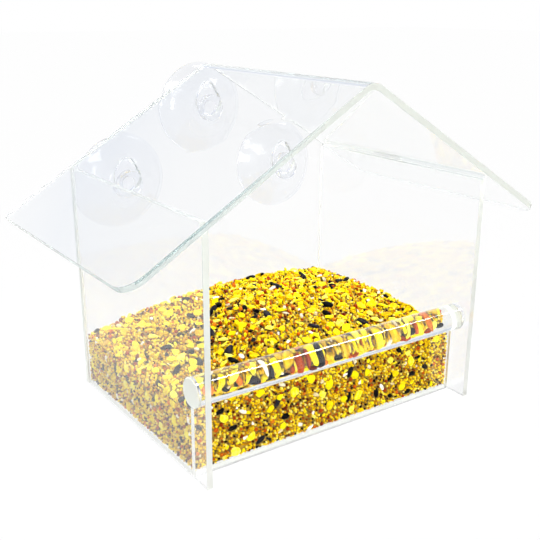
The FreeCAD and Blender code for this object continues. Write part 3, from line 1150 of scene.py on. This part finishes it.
class GrainScatter:
    """A Geometry Nodes tree that lays one kind of grain on the skin of the heap."""

    inputs = {
        "Grains": "Collection", "Hull": "Material", "Spacing": "Float", "Density": "Float",
        "Thinned": "Float", "Smallest": "Float", "Largest": "Float", "Tilt": "Float", "Lift": "Float",
        "Clearance": "Float", "Seed": "Int", "Keep Skin": "Bool",
    }
    # A random value node's first input and its output for each type of value, and its seed's input.
    chance_sockets = {"FLOAT_VECTOR": (0, 0), "FLOAT": (2, 1), "INT": (4, 2)}
    chance_seed = 8
    # The middle of the patch where kinds gather, and the distances between which they thin out.
    patch = (-30 * MM, 2 * MM, 40 * MM)
    thinning = (12 * MM, 34 * MM)
    # How far a grain stays from those of the layers before, in thicknesses.
    clearance = 0.35
    # No layer has more grains than this, so that a seed and an index make a number of their own.
    most_grains = 20000
    # A number drawn up to this picks a shape, counted round and round.
    most_picked = 1000

    def __init__(self) -> None:
        """Build the tree once, for every layer."""
        self.tree = bpy.data.node_groups.new("grain_layer", "GeometryNodeTree")
        new_socket = self.tree.interface.new_socket
        new_socket("Heap", in_out="INPUT", socket_type="NodeSocketGeometry")
        self.sockets = {
            name: new_socket(name, in_out="INPUT", socket_type=f"NodeSocket{kind}").identifier
            for name, kind in self.inputs.items()
        }
        new_socket("Heap", in_out="OUTPUT", socket_type="NodeSocketGeometry")
        self.given = add_node(self.tree, "NodeGroupInput").outputs
        self._grow()

    def _chance(self, low: object, high: object, salt: Salt, kind: str) -> NodeSocket:
        """Add a random value that differs from grain to grain.

        Args:
            low: least value, or the socket that gives it.
            high: largest value, or the socket that gives it.
            salt: what the value is for.
            kind: the value's data type.

        Returns:
            The socket that gives the value.
        """
        seed = math_node(self.tree, "ADD", self.given["Seed"], salt.value)
        first, result = self.chance_sockets[kind]
        value = add_node(
            self.tree, "FunctionNodeRandomValue",
            {first: low, first + 1: high, self.chance_seed: seed}, data_type=kind,
        )
        return value.outputs[result]

    def _store(self, grains: Node, name: str, value: object, kind: str) -> Node:
        """Add a node that keeps a named value with each grain."""
        return add_node(
            self.tree, "GeometryNodeStoreNamedAttribute",
            {"Name": name, "Geometry": grains, "Value": value}, data_type=kind, domain="INSTANCE",
        )

    def _grow(self) -> None:
        """Fill the tree: spread points, drop the crowded ones, stand grains on the rest."""
        tree, given = self.tree, self.given
        skin = add_node(tree, "GeometryNodeInputNamedAttribute", {"Name": "skin"}, data_type="BOOLEAN")
        parts = add_node(
            tree, "GeometryNodeSeparateGeometry",
            {"Geometry": given["Heap"], "Selection": skin.outputs["Attribute"]}, domain="FACE",
        ).outputs
        size = self._chance(given["Smallest"], given["Largest"], Salt.SIZE, "FLOAT")
        points = self._spread(parts["Selection"])
        free = self._seat(points, parts["Inverted"], size)
        grains = self._stand(free, points["Rotation"], size)
        bare = add_node(
            tree, "GeometryNodeSwitch",
            {"Switch": given["Keep Skin"], "True": parts["Selection"]}, input_type="GEOMETRY",
        )
        joined = add_node(tree, "GeometryNodeJoinGeometry", {0: bare})
        tree.links.new(parts["Inverted"], joined.inputs[0])
        tree.links.new(grains.outputs[0], joined.inputs[0])
        add_node(tree, "NodeGroupOutput", {0: joined})

    def _spread(self, skin: NodeSocket) -> NodeOutputs:
        """Add nodes that spread points over the skin, fewer away from the patch.

        Args:
            skin: the socket that gives the skin.

        Returns:
            The outputs that give the points, their normals and their turns.
        """
        tree, given = self.tree, self.given
        spot = add_node(tree, "GeometryNodeInputPosition")
        away = vector_node(tree, "DISTANCE", spot, self.patch).outputs["Value"]
        share = map_range(tree, away, self.thinning, (1.0, given["Thinned"]))
        return add_node(
            tree, "GeometryNodeDistributePointsOnFaces",
            {"Mesh": skin, "Distance Min": given["Spacing"], "Density Max": given["Density"],
             "Density Factor": share, "Seed": given["Seed"]},
            distribute_method="POISSON",
        ).outputs

    def _seat(self, points: NodeOutputs, laid: NodeSocket, size: NodeSocket) -> Node:
        """Add nodes that lift the points off the skin and drop those that are crowded.

        Args:
            points: the outputs that give the points and their normals.
            laid: the socket that gives the grains that lie there.
            size: the socket that gives a grain's size.

        Returns:
            The node that gives the points that are left.
        """
        tree, given = self.tree, self.given
        rise = math_node(tree, "MULTIPLY", given["Lift"], size)
        shift = add_node(
            tree, "ShaderNodeVectorMath", {0: points["Normal"], "Scale": rise}, operation="SCALE"
        )
        # The points take the skin's marks along, which grains must not have.
        unmarked = add_node(
            tree, "GeometryNodeRemoveAttribute", {"Name": "skin", "Geometry": points["Points"]}
        )
        seated = add_node(tree, "GeometryNodeSetPosition", {"Geometry": unmarked, "Offset": shift})
        near = add_node(tree, "GeometryNodeProximity", {0: laid}, target_element="FACES").outputs
        crowded = add_node(
            tree, "FunctionNodeCompare", {0: near["Distance"], 1: given["Clearance"]},
            operation="LESS_THAN",
        )
        taken = add_node(
            tree, "FunctionNodeBooleanMath", {0: crowded, 1: near["Is Valid"]}, operation="AND"
        )
        return add_node(
            tree, "GeometryNodeDeleteGeometry", {"Geometry": seated, "Selection": taken}, domain="POINT"
        )

    def _stand(self, points: Node, turns: NodeSocket, size: NodeSocket) -> Node:
        """Add nodes that stand a tossed grain on each point, with its shade and its number.

        Args:
            points: the node that gives the points.
            turns: the socket that gives the way that the skin faces there.
            size: the socket that gives a grain's size.

        Returns:
            The node that gives the grains, as plain mesh in their material.
        """
        tree, given = self.tree, self.given
        toss = self._chance((-1.0, -1.0, -1.0), (1.0, 1.0, 1.0), Salt.TOSS, "FLOAT_VECTOR")
        reach = add_node(
            tree, "ShaderNodeCombineXYZ", {"X": given["Tilt"], "Y": given["Tilt"], "Z": math.pi}
        )
        turn = add_node(
            tree, "FunctionNodeEulerToRotation", {0: vector_node(tree, "MULTIPLY", toss, reach)}
        )
        facing = add_node(
            tree, "FunctionNodeRotateRotation", {0: turns, 1: turn}, rotation_space="LOCAL"
        )
        choice = add_node(
            tree, "GeometryNodeCollectionInfo",
            {"Separate Children": True, "Reset Children": True, "Collection": given["Grains"]},
        )
        pick = self._chance(0, self.most_picked, Salt.PICK, "INT")
        grains = add_node(
            tree, "GeometryNodeInstanceOnPoints",
            {"Points": points, "Instance": choice, "Pick Instance": True, "Instance Index": pick,
             "Rotation": facing, "Scale": size},
        )
        shade = self._chance(0.0, 1.0, Salt.SHADE, "FLOAT")
        index = add_node(tree, "GeometryNodeInputIndex")
        number = math_node(tree, "MULTIPLY_ADD", given["Seed"], self.most_grains, index)
        shaded = self._store(grains, "shade", shade, "FLOAT")
        numbered = self._store(shaded, "grain", number, "INT")
        plain = add_node(tree, "GeometryNodeRealizeInstances", {"Geometry": numbered})
        return add_node(tree, "GeometryNodeSetMaterial", {"Geometry": plain, "Material": given["Hull"]})

    def lay(
        self, host: Object, layer: GrainLayer, grains: Collection,
        hull: Material, seed: int, last: bool,
    ) -> None:
        """Add one layer of grains to a side of the heap.

        Args:
            host: the side of the heap.
            layer: how the grains lie.
            grains: the kind's shapes.
            hull: the kind's material.
            seed: the layer's seed.
            last: true on the layer that leaves only grains.
        """
        modifier = host.modifiers.new(layer.kind.name, "NODES")
        modifier.node_group = self.tree
        settings = {
            "Grains": grains, "Hull": hull, "Spacing": layer.spacing * MM,
            "Density": layer.per_square_cm * PER_SQUARE_CM, "Thinned": layer.thinned,
            "Smallest": layer.grown * (1 - layer.kind.spread),
            "Largest": layer.grown * (1 + layer.kind.spread),
            "Tilt": math.radians(layer.tilt), "Lift": layer.lift * layer.kind.thickness * MM,
            "Clearance": self.clearance * layer.kind.thickness * MM, "Seed": seed, "Keep Skin": not last,
        }
        for name, value in settings.items():
            modifier[self.sockets[name]] = value


@dataclass
class SeedHeap:
    """Loose mixed seed: a packed core, and a skin of whole grains on each side that shows."""

    node: str = "seed_fill"
    seed: int = 11
    seed_step_by_side: int = 100
    seed_step_by_layer: int = 10
    core_inset: float = 1.1 * MM
    perch_gap: float = 0.3 * MM
    floor_gap: float = 0.05 * MM
    perch_row: float = -41 * MM
    top_recipe: tuple[GrainLayer, ...] = (
        GrainLayer(FLAKES, 1.9, 4.4, 28, 0.25),
        GrainLayer(BLACKS, 1.8, 4.5, 25, 0.15, thinned=0.35),
        GrainLayer(CHIPS, 4.0, 2.9, 180, 0.1),
        GrainLayer(WHITES, 0.3, 5.0, 25, 0.1),
        GrainLayer(CRUMBS, 0.4, 5.0, 180, 0.1),
        GrainLayer(REDS, 4.5, 2.6, 180, 0.05, thinned=0.5),
        GrainLayer(SPECKS, 13.0, 1.7, 180, 0.0, thinned=0.35),
        GrainLayer(RED_MILLETS, 18.0, 1.5, 180, -0.1, thinned=0.45),
        GrainLayer(MILLETS, 300.0, 1.3, 180, -0.15),
    )
    perch_recipe: tuple[GrainLayer, ...] = (
        GrainLayer(FLAKES, 4.4, 4.6, 35, 0.3, grown=1.3),
        GrainLayer(BLACKS, 2.4, 5.0, 25, 0.3, grown=1.3),
        GrainLayer(CHIPS, 5.0, 2.9, 180, 0.1, grown=1.2),
        GrainLayer(WHITES, 0.6, 5.0, 25, 0.2),
        GrainLayer(REDS, 6.0, 3.0, 180, 0.3, grown=1.7),
        GrainLayer(SPECKS, 3.0, 2.0, 180, 0.0),
        GrainLayer(RED_MILLETS, 6.0, 1.5, 180, -0.1),
        GrainLayer(MILLETS, 300.0, 1.3, 180, -0.15),
    )
    wall_recipe: tuple[GrainLayer, ...] = (
        GrainLayer(FLAKES, 0.8, 5.5, 6, -0.5),
        GrainLayer(BLACKS, 0.4, 6.5, 6, -0.5),
        GrainLayer(CHIPS, 2.8, 3.2, 10, -0.5),
        GrainLayer(WHITES, 0.3, 5.0, 8, -0.5),
        GrainLayer(CRUMBS, 0.4, 5.0, 10, -0.5),
        GrainLayer(REDS, 2.4, 2.7, 180, -0.5),
        GrainLayer(SPECKS, 4.5, 1.8, 180, -0.5),
        GrainLayer(RED_MILLETS, 9.0, 1.5, 180, -0.5),
        GrainLayer(MILLETS, 300.0, 1.05, 180, -0.5),
    )
    # The way that each side faces, and how nearly a face of the solid has to face it.
    facing: dict[Skin, tuple[Vector, float]] = field(default_factory=lambda: {
        Skin.TOP: (Vector((0, 0, 1)), 0.35),
        Skin.PERCH: (Vector((0, 0, 1)), 0.35),
        Skin.FRONT: (Vector((0, -1, 0)), 0.7),
        Skin.LEFT: (Vector((-1, 0, 0)), 0.7),
        Skin.RIGHT: (Vector((1, 0, 0)), 0.7),
        Skin.BACK: (Vector((0, 1, 0)), 0.7),
    })

    def build(self) -> None:
        """Build and dress the core and every side."""
        self._core()
        dice = random.Random(self.seed)
        scatter = GrainScatter()
        hulls: dict[str, Material] = {}
        shapes: dict[str, Collection] = {}
        for layer in self.top_recipe:
            kind = layer.kind
            if kind.hull.name not in hulls:
                hulls[kind.hull.name] = kind.hull.material()
            shapes[kind.name] = bpy.data.collections.new(kind.name)
            for mesh in kind.meshes(dice):
                shapes[kind.name].objects.link(bpy.data.objects.new(mesh.name, mesh))
        recipes = {Skin.TOP: self.top_recipe, Skin.PERCH: self.perch_recipe}
        for order, skin in enumerate(Skin):
            piece = show(f"seed_{skin.value}_grains", self._side(skin))
            recipe = recipes.get(skin, self.wall_recipe)
            for number, layer in enumerate(recipe):
                seed = self.seed + self.seed_step_by_side * order + self.seed_step_by_layer * number
                scatter.lay(
                    piece, layer, shapes[layer.kind.name], hulls[layer.kind.hull.name], seed,
                    number == len(recipe) - 1,
                )
            settle(piece)
            self._press(piece.data)
            self._map(piece.data)
            hand_over(piece, HOUSE, "seed_mix")
        for shape in shapes.values():
            for template in list(shape.objects):
                bpy.data.objects.remove(template)
            bpy.data.collections.remove(shape)
        bpy.data.node_groups.remove(scatter.tree)

    def _side(self, skin: Skin) -> Mesh:
        """Cut one side out of the heap's solid.

        Args:
            skin: the side.

        Returns:
            Its faces alone, marked as skin.
        """
        way, least = self.facing[skin]
        side = welded_copy(self.node)
        others = [face for face in side.faces if face.normal @ way < least]
        if skin in (Skin.TOP, Skin.PERCH):
            near = skin is Skin.PERCH
            others += [
                face for face in side.faces
                if face.normal @ way >= least and (face.calc_center_median().y < self.perch_row) != near
            ]
        bmesh.ops.delete(side, geom=others, context="FACES")
        mesh = mesh_from(f"heap_{skin.value}", side)
        marks = mesh.attributes.new("skin", "BOOLEAN", "FACE")
        marks.data.foreach_set("value", [True] * len(mesh.polygons))
        return mesh

    def _press(self, mesh: Mesh) -> None:
        """Press the outer grains flat against the walls and clear of the perch.

        Args:
            mesh: the grains of one side.
        """
        low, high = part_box(self.node)
        places = coordinates(mesh)
        places = np.maximum(places, np.array(low + Vector((0.0, 0.0, self.floor_gap))))
        places[:, :2] = np.minimum(places[:, :2], np.array(high)[:2])
        rod_low, rod_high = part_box("perch_rod")
        axis = np.array(((rod_low + rod_high) / 2)[1:])
        keep_out = (rod_high.y - rod_low.y) / 2 + self.perch_gap
        away = places[:, 1:] - axis
        distance = np.hypot(*away.T)
        inside = distance < keep_out
        places[inside, 1:] = axis + away[inside] * (keep_out / distance[inside])[:, None]
        mesh.vertices.foreach_set("co", places.ravel())
        mesh.update()

    def _map(self, mesh: Mesh) -> None:
        """Give every grain a cell of its own in the map that its finish can be baked to.

        Args:
            mesh: the grains of one side.
        """
        numbers = np.empty(len(mesh.vertices), np.int32)
        mesh.attributes["grain"].data.foreach_get("value", numbers)
        grains, cells = np.unique(numbers, return_inverse=True)
        per_row = math.ceil(math.sqrt(len(grains)))
        corners = np.empty(len(mesh.loops), np.int32)
        mesh.loops.foreach_get("vertex_index", corners)
        local = np.empty(len(mesh.loops) * 2, np.float32)
        mesh.uv_layers["grain_map"].uv.foreach_get("vector", local)
        rows = np.stack((cells % per_row, cells // per_row), axis=1)[corners]
        baked = mesh.uv_layers.new(name="OFBake")
        baked.uv.foreach_set("vector", ((rows + local.reshape(-1, 2)) / per_row).ravel())
        mesh.uv_layers.remove(mesh.uv_layers["grain_map"])
        mesh.attributes.remove(mesh.attributes["grain"])

    def _core(self) -> None:
        """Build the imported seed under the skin, which lies on the floor of the tray."""
        core = welded_copy(self.node)
        for vert in core.verts:
            vert.normal_update()
        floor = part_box(self.node)[0].z
        shifts = [vert.normal * self.core_inset * vert.calc_shell_factor() for vert in core.verts]
        for vert, shift in zip(core.verts, shifts):
            on_floor = vert.co.z < floor + self.core_inset / 2
            vert.co -= shift
            if on_floor:
                vert.co.z = floor + self.floor_gap
        mesh = mesh_from("seed_core", core)
        drop_cad_normals(mesh)
        mesh.materials.clear()
        mesh.materials.append(PackedSeed().material())
        hand_over(show("seed_core", mesh), HOUSE, "seed_mix", self.node)


@dataclass(frozen=True)
class LightBox:
    """A soft box: its place, what it faces, its width and height, and how bright it looks."""

    name: str
    place: Vector
    faces: Vector
    width: float
    height: float
    radiance: float
    lights: bool = True

    def hang(self) -> None:
        """Hang the box; one that doesn't light matt surfaces shows only in the gloss of others."""
        lamp = bpy.data.lights.new(self.name, "AREA")
        lamp.shape = "RECTANGLE"
        lamp.size = self.width
        lamp.size_y = self.height
        lamp.energy = math.pi * self.width * self.height * self.radiance
        box = bpy.data.objects.new(self.name, lamp)
        box.location = self.place
        box.rotation_euler = (self.faces - self.place).to_track_quat("-Z", "Y").to_euler()
        box.visible_diffuse = self.lights
        bpy.context.scene.collection.objects.link(box)


@dataclass
class Studio:
    """Paper, light and camera."""

    eye: Vector = field(default_factory=lambda: Vector((-0.2385, -0.3384, 0.2026)))
    aim: Vector = field(default_factory=lambda: Vector((-0.0023, -0.0005, 0.069)))
    lens: float = 54.45
    roll: float = 0.0056
    paper_size: float = 12.0
    bounces: int = 96
    overhead_way: Vector = field(default_factory=lambda: Vector((-0.75, -0.1, 1.0)))
    overhead_strength: float = 1.3
    overhead_angle: float = math.radians(60)
    boxes: tuple[LightBox, ...] = (
        LightBox("front_box", Vector((-0.24, -1.0, 0.55)), Vector((0.0, 0.06, 0.11)), 0.35, 0.35, 6.0),
        LightBox("low_box", Vector((-0.1, -0.95, 0.05)), Vector((0.0, 0.06, 0.11)), 0.2, 0.2, 17.0),
        LightBox(
            "perch_strip", Vector((0.68, -0.3, 0.94)), Vector((0.68, -0.056, 0.042)), 1.5, 0.2, 25.0,
            lights=False,
        ),
    )

    def build(self) -> None:
        """Set up the stage."""
        scene = bpy.context.scene
        scene.view_settings.view_transform = "Standard"
        scene.cycles.max_bounces = self.bounces
        scene.cycles.glossy_bounces = self.bounces
        scene.cycles.transmission_bounces = self.bounces
        scene.cycles.transparent_max_bounces = self.bounces
        scene.world = WhiteRoom().world()
        self._paper()
        self._overhead_bank()
        for box in self.boxes:
            box.hang()
        self._camera()

    def _paper(self) -> None:
        """Lay the paper that the feeder stands on."""
        half = self.paper_size / 2
        mesh = bpy.data.meshes.new("studio_paper")
        mesh.from_pydata(
            [(-half, -half, 0), (half, -half, 0), (half, half, 0), (-half, half, 0)], [], [(0, 1, 2, 3)]
        )
        mesh.materials.append(StudioPaper().material())
        show("studio_paper", mesh)

    def _overhead_bank(self) -> None:
        """Light the feeder softly from above, as a bank of lamps over the whole stage does.

        Its glare isn't seen through the plastic, so that sawn edges keep their colour.
        """
        lamp = bpy.data.lights.new("overhead_bank", "SUN")
        lamp.energy = self.overhead_strength
        lamp.angle = self.overhead_angle
        bank = bpy.data.objects.new("overhead_bank", lamp)
        bank.rotation_euler = (-self.overhead_way).to_track_quat("-Z", "Y").to_euler()
        bank.visible_transmission = False
        bpy.context.scene.collection.objects.link(bank)

    def _camera(self) -> None:
        """Stand the camera where the photograph was taken from."""
        camera = bpy.data.cameras.new("camera")
        camera.lens = self.lens
        holder = bpy.data.objects.new("camera", camera)
        holder.location = self.eye
        facing = (self.aim - self.eye).to_track_quat("-Z", "Y")
        holder.rotation_euler = (facing @ Quaternion((0.0, 0.0, 1.0), self.roll)).to_euler()
        bpy.context.scene.collection.objects.link(holder)
        bpy.context.scene.camera = holder


def main() -> None:
    """Build the feeder and its studio."""
    logging.basicConfig(level=logging.INFO, format="%(name)s: %(message)s")
    Studio().build()
    SheetHouse().build()
    Perch().build()
    pvc = SOFT_PVC.material()
    for node, body, gate_angle in (
        ("suction_cup_left", "left_cup", math.radians(58)),
        ("suction_cup_right", "right_cup", math.radians(66)),
        ("suction_cup_top", "top_cup", math.radians(-43)),
    ):
        SuctionCup(node, body, gate_angle).build(pvc)
    SeedHeap().build()


if __name__ == "__main__":
    main()
